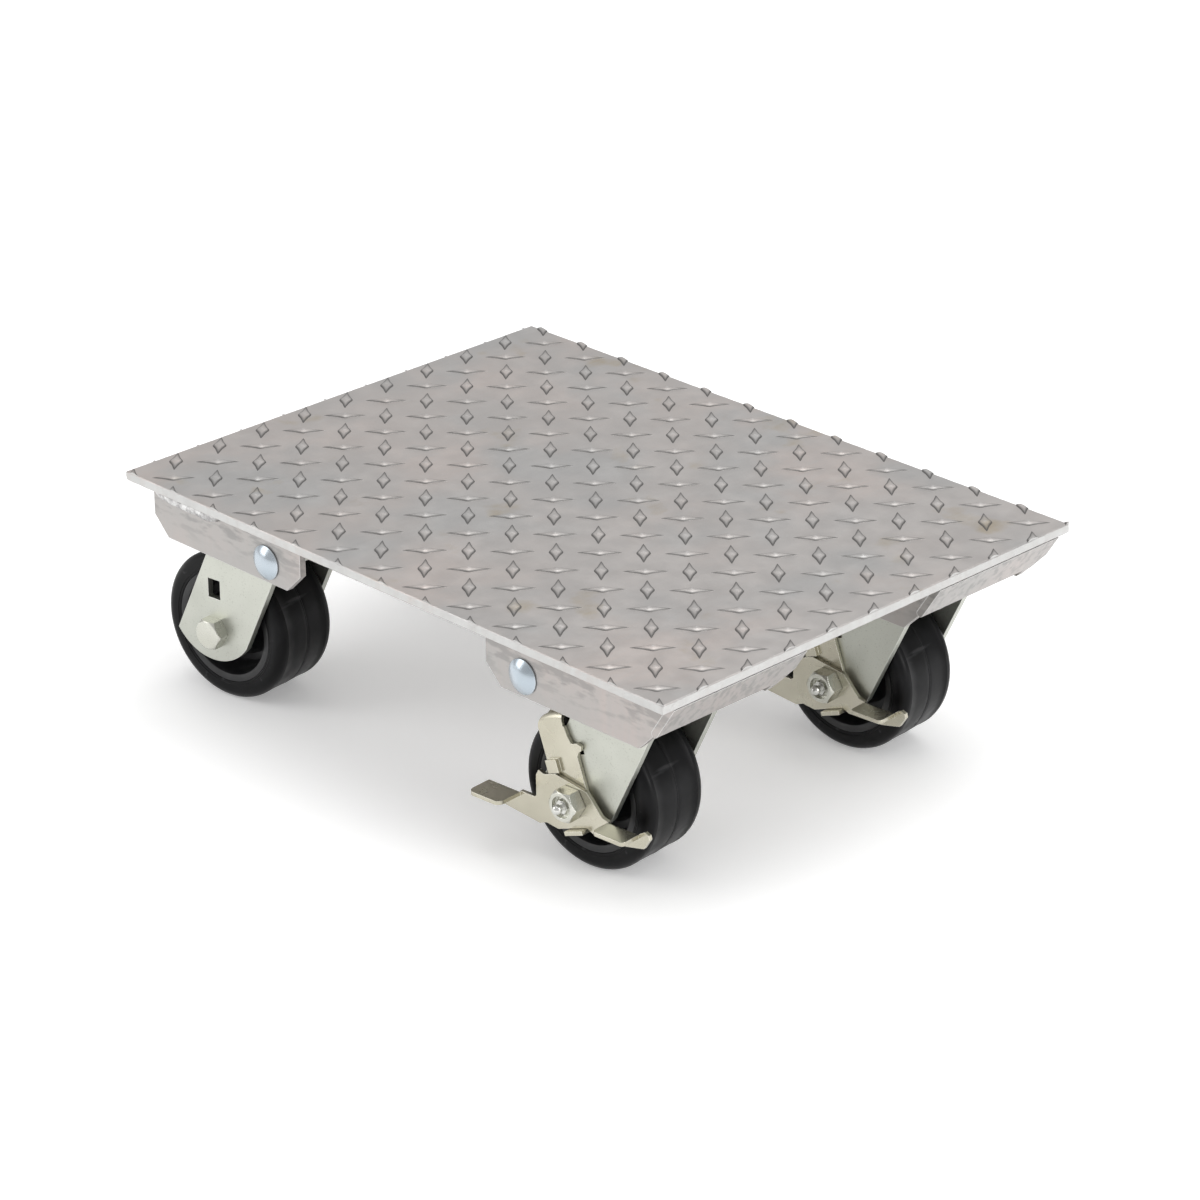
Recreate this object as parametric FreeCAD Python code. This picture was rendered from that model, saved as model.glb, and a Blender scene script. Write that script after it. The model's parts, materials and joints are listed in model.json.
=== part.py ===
import FreeCAD, Part
import math
import os

# Caster dolly: a tread-plate deck carried by four swivel casters, the front two with side brakes.
# Millimetres. +X is the front (braked) end, +Y the left side, +Z up. Shapes are drawn about the middle
# of the deck, and export moves them so that the origin is on the floor under the middle of the dolly.

# Deck
DECK_LENGTH = 482.6
DECK_WIDTH = 362.0
DECK_THICKNESS = 6.35
DECK_TOP = 159.0
DECK_UNDERSIDE = DECK_TOP - DECK_THICKNESS

# Caster pockets, welded from flat bar under the deck
POCKET_PLATE = 4.76
POCKET_OUTER_FACE = 171.4
POCKET_INNER_FACE = 59.6
SIDE_PLATE_INBOARD = 84.0
SIDE_PLATE_OUTBOARD = 225.5
SIDE_PLATE_BOTTOM = 118.2
SIDE_PLATE_CHAMFER = 13.0
FLANGE_TIP_X = 226.0
FLANGE_TIP_Z = 128.8
FLANGE_CORNER_CUT = 11.0
LEDGE_WIDTH = 20.0
WELD_LEG = 3.6
WELD_LENGTH = 62.0

# Cross bolt that holds the inboard edge of each caster plate
CROSS_BOLT_RADIUS = 4.76
CROSS_BOLT_X = 116.0
CROSS_BOLT_Z = 131.7
CROSS_BOLT_HEAD_RADIUS = 11.5
CROSS_BOLT_HEAD_HEIGHT = 4.8
CROSS_NUT_FLATS = 14.3
CROSS_NUT_HEIGHT = 8.3
CROSS_BOLT_STICK_OUT = 12.5

# Caster top plate, packer and kingpin
KINGPIN_X = 168.15
KINGPIN_Y = 114.0
TOP_PLATE_LENGTH = 114.3
TOP_PLATE_WIDTH = 98.4
TOP_PLATE_THICKNESS = 6.35
TOP_PLATE_TOP = 142.9
TOP_PLATE_UNDERSIDE = TOP_PLATE_TOP - TOP_PLATE_THICKNESS
TOP_PLATE_CORNER = 9.0
SLOT_OUTER = (46.0, 33.3)
SLOT_INNER = (38.1, 38.1)
SLOT_RADIUS = 5.2
KINGPIN_RADIUS = 6.35
KINGPIN_HEAD_RADIUS = 11.1
KINGPIN_HEAD_HEIGHT = 6.4
KINGPIN_NUT_HEIGHT = 6.3
KINGPIN_STICK_OUT = 0.8
PACKER_HOLE_RADIUS = 13.0

# Swivel bearing
BALL_RADIUS = 3.97
BALL_COUNT = 15
BALL_CIRCLE = 21.5
BALL_LEVEL = 128.05
GROOVE_RADIUS = 4.1
RACE_HALF_GAP = 0.55
UPPER_RACE_RADIUS = 29.0
RACE_LIP_INNER = 28.2
RACE_LIP_OUTER = 30.5
RACE_LIP_BOTTOM = 124.0
LOWER_RACE_OUTER = 27.0
LOWER_RACE_INNER = 15.5

# Wheel
WHEEL_RADIUS = 50.8
TYRE_HALF_WIDTH = 25.4
TYRE_SHOULDER = 6.5
TYRE_INNER_RADIUS = 38.5
RIM_INNER_RADIUS = 33.0
RIM_HALF_WIDTH = 24.4
WEB_HALF_THICKNESS = 6.0
HUB_RADIUS = 21.0
HUB_BORE = 14.7
HUB_HALF_LENGTH = 27.8
ROLLER_RADIUS = 2.4
ROLLER_CIRCLE = 12.15
ROLLER_COUNT = 12
ROLLER_HALF_LENGTH = 24.5
CAGE_RING_INNER = 9.8
CAGE_RING_OUTER = 14.6
CAGE_RING_WIDTH = 2.5

# Yoke
SHEET = 4.76
YOKE_HALF_WIDTH = 32.9
YOKE_INNER_HALF = YOKE_HALF_WIDTH - SHEET
YOKE_CUT_HALF = YOKE_HALF_WIDTH + 1
CROWN_TOP = 112.3
CROWN_UNDERSIDE = CROWN_TOP - SHEET
CROWN_RADIUS = 27.5
YOKE_BEND_RADIUS = 7.2
TRAIL = 31.0
LEG_HOLE_WIDTH = 10.4
LEG_HOLE_HEIGHT = 13.5
LEG_HOLE_Z = 29.9
RUNNING_CLEARANCE = 0.07
LEG_CORNERS = ((26.5, -6.0), (58.0, 61.5), (-1.8, 61.5), (-33.2, -6.2))
LEG_FOOT_LOW = (-2.0, -21.5)

# Axle
AXLE_RADIUS = 6.35
AXLE_FLATS = 19.05
AXLE_HEAD_HEIGHT = 8.8
AXLE_NUT_HEIGHT = 10.0
AXLE_END_INSET = 3.5
NUT_MOUTH_RADIUS = 7.2
HEX_CHAMFER_RISE = 1.6
SLEEVE_RADIUS = 9.5
FITTING_FLATS = 8.0
FITTING_BASE = 3.0
FITTING_NECK_RADIUS = 2.3
FITTING_BALL_RADIUS = 3.2
FITTING_BALL_OUT = 6.6

# Brake, on the right-hand leg of both front casters
BRAKE_SHEET = 2.6
LAYER_GAP = 0.3
SLIDE_BACK = YOKE_HALF_WIDTH + LAYER_GAP
SLIDE_FACE = SLIDE_BACK + BRAKE_SHEET
LEVER_BACK = SLIDE_FACE + LAYER_GAP
LEVER_FACE = LEVER_BACK + BRAKE_SHEET
BRAKED_NUT_SEAT = LEVER_FACE + LAYER_GAP
SLIDE_TILT = 20.0
SHOE_STROKE = 2.6
SHOE_RADIUS = WHEEL_RADIUS + 0.3 + SHOE_STROKE
SHOE_INNER_END = 6.0
SHOE_SWEEP = (-17.5, 7.5)
SHOE_BEND = 4.0
SLIDE_CORNER = (-5.5, 45.5)
SLIDE_CORNER_RADIUS = 9.0
CAM_REACH = 17.2
TAB_REACH = 17.5
TAB_LEFT = -9.0
TAB_RIGHT = 6.0
TAB_OUT = 43.5
STOP_TAB = (-13.5, -4.5, 18.2, 26.5)
TONGUE = (10.0, 15.0, 30.5, 34.5)
SLOT_CLEARANCE = 0.35
SHOE_LEG = 10.0
PAD_BEND = 1.5
LEFT_PAD = (-67.4, -42.0, -7.6, 58.0, 4.5)
RIGHT_PAD = (28.6, 52.7, -4.2, 53.5, 3.0)

# name: kingpin x, kingpin y, swivel angle at rest in degrees, has a brake
CORNERS = {
    "front_right": (KINGPIN_X, -KINGPIN_Y, 4.0, True),
    "front_left": (KINGPIN_X, KINGPIN_Y, 4.0, True),
    "rear_right": (-KINGPIN_X, -KINGPIN_Y, 7.0, False),
    "rear_left": (-KINGPIN_X, KINGPIN_Y, 7.0, False),
}


def rear_overhang():
    """How far the trailing rear tyres reach past the rear edge of the deck."""
    angle = math.radians(CORNERS["rear_left"][2])
    tyre_reach = ((WHEEL_RADIUS - TYRE_SHOULDER) * math.cos(angle)
                  + (TYRE_HALF_WIDTH - TYRE_SHOULDER) * math.sin(angle) + TYRE_SHOULDER)
    return KINGPIN_X + TRAIL * math.cos(angle) + tyre_reach - DECK_LENGTH / 2


REAR_OVERHANG = rear_overhang()

Vector = FreeCAD.Vector
ORIGIN = Vector(0, 0, 0)
X_AXIS = Vector(1, 0, 0)
Y_AXIS = Vector(0, 1, 0)
Z_AXIS = Vector(0, 0, 1)


# ---------- shape helpers ----------

def box(x0, x1, y0, y1, z0, z1):
    return Part.makeBox(x1 - x0, y1 - y0, z1 - z0, Vector(x0, y0, z0))


def rounded_box(x0, x1, y0, y1, z0, z1, radius):
    """Box with its four upright edges rounded."""
    block = box(x0, x1, y0, y1, z0, z1)
    upright = [e for e in block.Edges if abs(e.BoundBox.ZLength - (z1 - z0)) < 1e-6]
    return block.makeFillet(radius, upright)


def rod_y(radius, y0, y1):
    return Part.makeCylinder(radius, y1 - y0, Vector(0, y0, 0), Y_AXIS)


def rod_z(radius, z0, z1):
    return Part.makeCylinder(radius, z1 - z0, Vector(0, 0, z0), Z_AXIS)


def prism_y(outline, y0, y1):
    """Closed outline of (x, z) points, extruded from y0 to y1."""
    points = [Vector(x, y0, z) for x, z in outline]
    return Part.Face(Part.makePolygon(points + points[:1])).extrude(Vector(0, y1 - y0, 0))


def turned_y(profile):
    """Closed profile of (radius, y) points, turned about the Y axis."""
    points = [Vector(radius, y, 0) for radius, y in profile]
    return Part.Face(Part.makePolygon(points + points[:1])).revolve(ORIGIN, Y_AXIS, 360)


def turned_z(profile):
    """Closed profile of (radius, z) points, turned about the Z axis."""
    points = [Vector(radius, 0, z) for radius, z in profile]
    return Part.Face(Part.makePolygon(points + points[:1])).revolve(ORIGIN, Z_AXIS, 360)


def hexagon_z(flats, z0, z1):
    corner = flats / math.sqrt(3)
    points = [Vector(corner * math.cos(math.radians(a)), corner * math.sin(math.radians(a)), z0)
              for a in range(0, 360, 60)]
    return Part.Face(Part.makePolygon(points + points[:1])).extrude(Vector(0, 0, z1 - z0))


def chamfered_hexagon_y(flats, seat, face):
    """Hexagon along Y from its seat to its outer face, corners chamfered at the face."""
    low, high = min(seat, face), max(seat, face)
    block = hexagon_z(flats, low, high)
    block.rotate(ORIGIN, X_AXIS, -90)
    corner = flats / math.sqrt(3)
    rise = math.copysign(HEX_CHAMFER_RISE, seat - face)
    cone = turned_y([(0, seat), (corner + 0.1, seat), (corner + 0.1, face + rise),
                     (flats / 2 - 0.4, face), (0, face)])
    return block.common(cone)


def moved(shape, x, y, z=0):
    result = shape.copy()
    result.translate(Vector(x, y, z))
    return result


def turned_about_z(shape, degrees):
    result = shape.copy()
    result.rotate(ORIGIN, Z_AXIS, degrees)
    return result


def on_caster(shape, corner):
    """From a caster's own frame (kingpin on Z, wheel trailing towards -X) to its corner."""
    x, y, angle, _ = CORNERS[corner]
    return moved(turned_about_z(shape, angle), x, y)


def at_axle(shape):
    """From the axle's own frame to the caster's frame."""
    return moved(shape, -TRAIL, 0, WHEEL_RADIUS)


def along_slide(shape):
    """Tilt a shape drawn upright so that it lies along the brake slide's travel."""
    result = shape.copy()
    result.rotate(ORIGIN, Y_AXIS, -SLIDE_TILT)
    return result


def slide_point(across, along):
    """A point given across and along the brake slide, as (x, z) from the axle."""
    tilt = math.radians(SLIDE_TILT)
    return (across * math.cos(tilt) - along * math.sin(tilt),
            across * math.sin(tilt) + along * math.cos(tilt))


def export(name, shape):
    """Write one node, moved so that the origin is under the middle of the whole dolly."""
    moved(shape, REAR_OVERHANG / 2, 0).exportStep("parts/" + name + ".step")


# ---------- deck and pockets ----------

def deck_plate():
    half_length, half_width = DECK_LENGTH / 2, DECK_WIDTH / 2
    return box(-half_length, half_length, -half_width, half_width, DECK_UNDERSIDE, DECK_TOP)


def end_flange(corner_cut):
    """Inclined plate at the +X end: catches the outboard edge of the caster plate."""
    run = DECK_LENGTH / 2 - FLANGE_TIP_X
    drop = DECK_UNDERSIDE - FLANGE_TIP_Z
    length = math.hypot(run, drop)
    plate = box(-POCKET_PLATE, 0, POCKET_INNER_FACE, POCKET_OUTER_FACE, -length, POCKET_PLATE)
    tip = [e for e in plate.Edges if e.BoundBox.ZMax < -length + 1e-6 and e.BoundBox.YLength > 1]
    plate = plate.makeFillet(POCKET_PLATE * 0.45, tip)
    if corner_cut:
        corner = [Vector(-POCKET_PLATE, POCKET_OUTER_FACE - corner_cut, -length),
                  Vector(-POCKET_PLATE, POCKET_OUTER_FACE, -length + corner_cut),
                  Vector(-POCKET_PLATE, POCKET_OUTER_FACE, -length)]
        waste = Part.Face(Part.makePolygon(corner + corner[:1]))
        plate = plate.cut(waste.extrude(Vector(POCKET_PLATE, 0, 0)))
    plate.rotate(ORIGIN, Y_AXIS, math.degrees(math.atan2(run, drop)))
    plate.translate(Vector(DECK_LENGTH / 2, 0, DECK_UNDERSIDE))
    return plate.common(box(0, DECK_LENGTH / 2, 0, DECK_WIDTH / 2, 0, DECK_UNDERSIDE))


def side_plate(outer_face, inner_face, front):
    """Pocket side between two Y positions, its lower corners cut; in front it runs up to the end flange."""
    cut = SIDE_PLATE_CHAMFER
    top_end = DECK_LENGTH / 2 - POCKET_PLATE if front else SIDE_PLATE_OUTBOARD
    outline = [
        (SIDE_PLATE_INBOARD, DECK_UNDERSIDE),
        (SIDE_PLATE_INBOARD, SIDE_PLATE_BOTTOM + cut),
        (SIDE_PLATE_INBOARD + cut, SIDE_PLATE_BOTTOM),
        (SIDE_PLATE_OUTBOARD - cut, SIDE_PLATE_BOTTOM),
        (SIDE_PLATE_OUTBOARD, SIDE_PLATE_BOTTOM + cut),
        (top_end, DECK_UNDERSIDE)]
    low, high = min(outer_face, inner_face), max(outer_face, inner_face)
    plate = prism_y(outline, low, high)
    half = CROSS_BOLT_RADIUS
    hole = box(CROSS_BOLT_X - half, CROSS_BOLT_X + half, low, high, CROSS_BOLT_Z - half, CROSS_BOLT_Z + half)
    plate = plate.cut(hole)
    return plate.cut(end_flange(0)) if front else plate


def side_plates(front):
    outer = side_plate(POCKET_OUTER_FACE, POCKET_OUTER_FACE - POCKET_PLATE, front)
    inner = side_plate(POCKET_INNER_FACE, POCKET_INNER_FACE + POCKET_PLATE, front)
    return [outer, inner]


def weld_beads():
    """Fillet welds along the top of both side plates, on the faces away from the pocket."""
    beads = []
    for face, out in ((POCKET_OUTER_FACE, 1), (POCKET_INNER_FACE, -1)):
        section = [Vector(0, face, DECK_UNDERSIDE),
                   Vector(0, face + out * WELD_LEG, DECK_UNDERSIDE),
                   Vector(0, face, DECK_UNDERSIDE - WELD_LEG)]
        bead = Part.Face(Part.makePolygon(section + section[:1])).extrude(Vector(WELD_LENGTH, 0, 0))
        beads.append(moved(bead, SIDE_PLATE_OUTBOARD - WELD_LENGTH - 6, 0))
    return beads


def cross_bolt():
    """Carriage bolt: domed head outside, square neck in the outer plate, round shank."""
    rise = CROSS_BOLT_HEAD_HEIGHT
    dome_radius = (CROSS_BOLT_HEAD_RADIUS ** 2 + rise ** 2) / (2 * rise)
    dome_centre = POCKET_OUTER_FACE + rise - dome_radius
    half_sweep = math.asin(CROSS_BOLT_HEAD_RADIUS / dome_radius) / 2
    rim = Vector(CROSS_BOLT_HEAD_RADIUS, POCKET_OUTER_FACE, 0)
    foot = Vector(0, POCKET_OUTER_FACE, 0)
    crown = Vector(0, POCKET_OUTER_FACE + rise, 0)
    shoulder = Vector(dome_radius * math.sin(half_sweep),
                      dome_centre + dome_radius * math.cos(half_sweep), 0)
    dome = Part.Arc(rim, shoulder, crown).toShape()
    profile = Part.Wire([Part.makeLine(foot, rim), dome, Part.makeLine(crown, foot)])
    head = Part.Face(profile).revolve(ORIGIN, Y_AXIS, 360)
    half = CROSS_BOLT_RADIUS
    neck = box(-half, half, POCKET_OUTER_FACE - POCKET_PLATE, POCKET_OUTER_FACE, -half, half)
    shank = rod_y(CROSS_BOLT_RADIUS, POCKET_INNER_FACE - CROSS_BOLT_STICK_OUT, POCKET_OUTER_FACE)
    return moved(head.fuse([neck, shank]).removeSplitter(), CROSS_BOLT_X, 0, CROSS_BOLT_Z)


def cross_bolt_nut():
    nut = chamfered_hexagon_y(CROSS_NUT_FLATS, POCKET_INNER_FACE, POCKET_INNER_FACE - CROSS_NUT_HEIGHT)
    bore = rod_y(CROSS_BOLT_RADIUS, 0, POCKET_INNER_FACE)
    return moved(nut.cut(bore), CROSS_BOLT_X, 0, CROSS_BOLT_Z)


def packer():
    """Spacer between the caster plate and the deck, with a hole over the kingpin head."""
    half_length, half_width = TOP_PLATE_LENGTH / 2, TOP_PLATE_WIDTH / 2
    block = box(-half_length, half_length, -half_width, half_width, TOP_PLATE_TOP, DECK_UNDERSIDE)
    return block.cut(rod_z(PACKER_HOLE_RADIUS, TOP_PLATE_TOP, DECK_UNDERSIDE))


def mirrored(shape, x, y):
    """Copy of a shape built for the front left pocket, mirrored to the corner at (x, y)."""
    result = shape.copy()
    if x < 0:
        result = result.mirror(ORIGIN, X_AXIS)
    if y < 0:
        result = result.mirror(ORIGIN, Y_AXIS)
    return result


def flange_at(y):
    """End flange of a front pocket, its cut corner towards +Y on both sides."""
    flange = end_flange(FLANGE_CORNER_CUT)
    return flange if y > 0 else moved(flange, 0, -(POCKET_OUTER_FACE + POCKET_INNER_FACE))


def ledge():
    """Bar between the side plates of a rear pocket, under the outboard edge of the caster plate."""
    return box(SIDE_PLATE_OUTBOARD - LEDGE_WIDTH, SIDE_PLATE_OUTBOARD,
               POCKET_INNER_FACE + POCKET_PLATE, POCKET_OUTER_FACE - POCKET_PLATE,
               TOP_PLATE_UNDERSIDE - POCKET_PLATE, TOP_PLATE_UNDERSIDE)


# ---------- caster, fixed part ----------

def bolt_slot(sign_x, sign_y):
    ends = [Vector(sign_x * x, sign_y * y, 0) for x, y in (SLOT_OUTER, SLOT_INNER)]
    caps = [Part.makeCylinder(SLOT_RADIUS, DECK_TOP, end) for end in ends]
    run = ends[1] - ends[0]
    side = Vector(-run.y, run.x, 0).normalize() * SLOT_RADIUS
    corners = [ends[0] + side, ends[1] + side, ends[1] - side, ends[0] - side]
    middle = Part.Face(Part.makePolygon(corners + corners[:1])).extrude(Vector(0, 0, DECK_TOP))
    return middle.fuse(caps)


def ball_groove():
    return Part.makeTorus(BALL_CIRCLE, GROOVE_RADIUS, Vector(0, 0, BALL_LEVEL))


def top_plate():
    """Caster plate with four slotted holes and the upper ball race on its underside."""
    half_length, half_width = TOP_PLATE_LENGTH / 2, TOP_PLATE_WIDTH / 2
    plate = rounded_box(-half_length, half_length, -half_width, half_width,
                        TOP_PLATE_UNDERSIDE, TOP_PLATE_TOP, TOP_PLATE_CORNER)
    for sign_x in (-1, 1):
        for sign_y in (-1, 1):
            plate = plate.cut(bolt_slot(sign_x, sign_y))
    race = rod_z(UPPER_RACE_RADIUS, BALL_LEVEL + RACE_HALF_GAP, TOP_PLATE_UNDERSIDE)
    lip = turned_z([(RACE_LIP_INNER, RACE_LIP_BOTTOM), (RACE_LIP_OUTER, RACE_LIP_BOTTOM),
                    (RACE_LIP_OUTER, TOP_PLATE_UNDERSIDE), (RACE_LIP_INNER, TOP_PLATE_UNDERSIDE)])
    body = plate.fuse([race, lip]).cut(ball_groove())
    return body.cut(rod_z(KINGPIN_RADIUS, 0, DECK_TOP))


def kingpin():
    bottom = CROWN_UNDERSIDE - LAYER_GAP - KINGPIN_NUT_HEIGHT - KINGPIN_STICK_OUT
    shank = rod_z(KINGPIN_RADIUS, bottom, TOP_PLATE_TOP)
    head = rod_z(KINGPIN_HEAD_RADIUS, TOP_PLATE_TOP, TOP_PLATE_TOP + KINGPIN_HEAD_HEIGHT)
    return shank.fuse(head).removeSplitter()


def kingpin_nut():
    top = CROWN_UNDERSIDE - LAYER_GAP
    nut = hexagon_z(AXLE_FLATS, top - KINGPIN_NUT_HEIGHT, top)
    return nut.cut(rod_z(KINGPIN_RADIUS, 0, top))


# ---------- caster, swivelling part ----------

def swivel_balls():
    balls = []
    for i in range(BALL_COUNT):
        angle = 2 * math.pi * i / BALL_COUNT
        centre = Vector(BALL_CIRCLE * math.cos(angle), BALL_CIRCLE * math.sin(angle), BALL_LEVEL)
        balls.append(Part.makeSphere(BALL_RADIUS, centre))
    return Part.makeCompound(balls)


def yoke_section():
    """Inverted U across the wheel, bent from one sheet, as a face in the YZ plane."""
    top, foot = CROWN_TOP - WHEEL_RADIUS, -WHEEL_RADIUS
    outer = box(0, 1, -YOKE_HALF_WIDTH, YOKE_HALF_WIDTH, foot, top)
    inner = box(0, 1, -YOKE_INNER_HALF, YOKE_INNER_HALF, foot, top - SHEET)

    def rounded_top(block, radius):
        edges = [e for e in block.Edges
                 if e.BoundBox.ZMin > block.BoundBox.ZMax - 1e-6 and e.BoundBox.XLength > 0.5]
        return block.makeFillet(radius, edges)

    section = rounded_top(outer, YOKE_BEND_RADIUS).cut(rounded_top(inner, YOKE_BEND_RADIUS - SHEET))
    return [f for f in section.Faces if f.BoundBox.XMax < 1e-6][0]


def leg_outline():
    """Leaning leg with a curved foot, as a face in the XZ plane of the axle."""
    corners = [Vector(x, -YOKE_CUT_HALF, z) for x, z in LEG_CORNERS]
    sides = Part.makePolygon(corners)
    foot = Part.Arc(corners[3], Vector(LEG_FOOT_LOW[0], -YOKE_CUT_HALF, LEG_FOOT_LOW[1]), corners[0])
    return Part.Face(Part.Wire(sides.Edges + [foot.toShape()]))


def tongue_hole():
    """Hole in the braked leg, just large enough for the tongue over its whole stroke."""
    gap = SLOT_CLEARANCE
    return along_slide(box(TONGUE[0] - gap, TONGUE[1] + gap, -YOKE_CUT_HALF, -YOKE_INNER_HALF + 1,
                           TONGUE[2] - SHOE_STROKE - gap, TONGUE[3] + gap))


def yoke(braked):
    leg_start = min(x for x, _ in LEG_CORNERS) - 1
    leg_end = max(x for x, _ in LEG_CORNERS) + 1
    sheet = yoke_section().extrude(Vector(leg_end - leg_start, 0, 0))
    sheet = moved(sheet, leg_start, 0)
    legs = sheet.common(leg_outline().extrude(Vector(0, 2 * YOKE_CUT_HALF, 0)))
    for sign in (-1, 1):
        low = min(sign * YOKE_HALF_WIDTH, sign * YOKE_INNER_HALF) - 1
        hole = box(-LEG_HOLE_WIDTH / 2, LEG_HOLE_WIDTH / 2, low, low + SHEET + 2,
                   LEG_HOLE_Z - LEG_HOLE_HEIGHT / 2, LEG_HOLE_Z + LEG_HOLE_HEIGHT / 2)
        legs = legs.cut(tongue_hole() if braked and sign < 0 else hole)
    legs = at_axle(legs.cut(rod_y(AXLE_RADIUS, -YOKE_CUT_HALF, YOKE_CUT_HALF)))
    crown = rod_z(CROWN_RADIUS, CROWN_UNDERSIDE, CROWN_TOP)
    race_top = BALL_LEVEL - RACE_HALF_GAP
    race = turned_z([(LOWER_RACE_INNER, CROWN_UNDERSIDE), (LOWER_RACE_OUTER, CROWN_UNDERSIDE),
                     (LOWER_RACE_OUTER, race_top - 3), (LOWER_RACE_OUTER - 2.5, race_top),
                     (LOWER_RACE_INNER, race_top)])
    body = legs.fuse([crown, race]).cut(ball_groove())
    return body.cut(rod_z(KINGPIN_RADIUS + RUNNING_CLEARANCE, 0, CROWN_TOP)).removeSplitter()


def nut_seat(braked):
    return BRAKED_NUT_SEAT if braked else YOKE_HALF_WIDTH


def axle_bolt(braked):
    """Hex bolt through the yoke, its nut end towards -Y."""
    end = nut_seat(braked) + AXLE_NUT_HEIGHT - AXLE_END_INSET
    shank = rod_y(AXLE_RADIUS, -end, YOKE_HALF_WIDTH)
    head = chamfered_hexagon_y(AXLE_FLATS, YOKE_HALF_WIDTH, YOKE_HALF_WIDTH + AXLE_HEAD_HEIGHT)
    return shank.fuse(head).removeSplitter()


def axle_nut(braked):
    seat = nut_seat(braked)
    face = seat + AXLE_NUT_HEIGHT
    nut = chamfered_hexagon_y(AXLE_FLATS, -seat, -face)
    mouth = rod_y(NUT_MOUTH_RADIUS, -face, -face + AXLE_END_INSET)
    return nut.cut(rod_y(AXLE_RADIUS, -face, -seat)).cut(mouth)


def grease_fitting(braked):
    """Hex base, neck and ball nipple on the nut end of the axle."""
    base = nut_seat(braked) + AXLE_NUT_HEIGHT - AXLE_END_INSET
    hexagon = hexagon_z(FITTING_FLATS, -base - FITTING_BASE, -base)
    hexagon.rotate(ORIGIN, X_AXIS, 90)
    hexagon = hexagon.mirror(ORIGIN, Y_AXIS)
    neck = rod_y(FITTING_NECK_RADIUS, -base - FITTING_BALL_OUT, -base)
    ball = Part.makeSphere(FITTING_BALL_RADIUS, Vector(0, -base - FITTING_BALL_OUT, 0))
    return hexagon.fuse([neck, ball]).removeSplitter()


def axle_end(shape, braked):
    """The nut end faces -Y on a braked caster and +Y on a plain one."""
    return shape if braked else turned_about_z(shape, 180)


def axle_sleeve():
    length = YOKE_INNER_HALF
    return rod_y(SLEEVE_RADIUS, -length, length).cut(rod_y(AXLE_RADIUS, -length, length))


# ---------- wheel ----------

def tyre():
    half, shoulder = TYRE_HALF_WIDTH, TYRE_SHOULDER
    ring = turned_y([(TYRE_INNER_RADIUS, -half + 1), (TYRE_INNER_RADIUS + 3, -half), (WHEEL_RADIUS, -half),
                     (WHEEL_RADIUS, half), (TYRE_INNER_RADIUS + 3, half), (TYRE_INNER_RADIUS, half - 1)])
    rims = [e for e in ring.Edges
            if e.BoundBox.YLength < 1e-3 and abs(e.BoundBox.ZMax - WHEEL_RADIUS) < 1e-3]
    return ring.makeFillet(shoulder, rims)


def wheel_core():
    """Hub, web and rim in one piece, dished on both faces."""
    half_profile = [
        (HUB_BORE, HUB_HALF_LENGTH), (HUB_RADIUS - 1.5, HUB_HALF_LENGTH), (HUB_RADIUS, HUB_HALF_LENGTH - 1.5),
        (HUB_RADIUS + 2, WEB_HALF_THICKNESS), (RIM_INNER_RADIUS - 2, WEB_HALF_THICKNESS),
        (RIM_INNER_RADIUS, RIM_HALF_WIDTH - 2), (RIM_INNER_RADIUS + 2, RIM_HALF_WIDTH),
        (TYRE_INNER_RADIUS, RIM_HALF_WIDTH)]
    other_half = [(radius, -y) for radius, y in reversed(half_profile)]
    return turned_y(half_profile + other_half)


def roller_bearing():
    """Rollers round the sleeve, with a retaining ring at each end."""
    pieces = []
    for i in range(ROLLER_COUNT):
        angle = 2 * math.pi * i / ROLLER_COUNT
        roller = rod_y(ROLLER_RADIUS, -ROLLER_HALF_LENGTH, ROLLER_HALF_LENGTH)
        pieces.append(moved(roller, ROLLER_CIRCLE * math.cos(angle), 0, ROLLER_CIRCLE * math.sin(angle)))
    for start in (-ROLLER_HALF_LENGTH - CAGE_RING_WIDTH, ROLLER_HALF_LENGTH):
        ring = rod_y(CAGE_RING_OUTER, start, start + CAGE_RING_WIDTH)
        pieces.append(ring.cut(rod_y(CAGE_RING_INNER, start, start + CAGE_RING_WIDTH)))
    return Part.makeCompound(pieces)


# ---------- brake ----------

def bent_section(plate_back, plate_face, fold, reach, leg, inner_radius):
    """L of bent sheet as (distance from mid-plane, height) points joined by two arcs.

    The upright leg lies between plate_back and plate_face, and the flat part runs at
    height fold (its far surface) to reach, away from plate_back.
    """
    out = math.copysign(1, reach - plate_back)
    sheet = abs(plate_face - plate_back)
    outer_radius = inner_radius + sheet
    start = plate_back if abs(reach - plate_back) > abs(reach - plate_face) else plate_face
    near = start + out * sheet
    centre = Vector(0, -(start + out * outer_radius), fold - outer_radius)

    def point(distance, height):
        return Vector(0, -distance, height)

    def arc(radius):
        middle = centre + Vector(0, out * radius * math.sqrt(0.5), radius * math.sqrt(0.5))
        first = centre + Vector(0, out * radius, 0)
        last = centre + Vector(0, 0, radius)
        return Part.Arc(first, middle, last).toShape()

    level = fold - outer_radius
    bend_end = start + out * outer_radius
    edges = [
        Part.makeLine(point(start, fold - leg), point(start, level)),
        arc(outer_radius),
        Part.makeLine(point(bend_end, fold), point(reach, fold)),
        Part.makeLine(point(reach, fold), point(reach, fold - sheet)),
        Part.makeLine(point(reach, fold - sheet), point(bend_end, fold - sheet)),
        arc(inner_radius),
        Part.makeLine(point(near, level), point(near, fold - leg)),
        Part.makeLine(point(near, fold - leg), point(start, fold - leg))]
    return Part.Face(Part.Wire(Part.sortEdges(edges)[0]))


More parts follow.
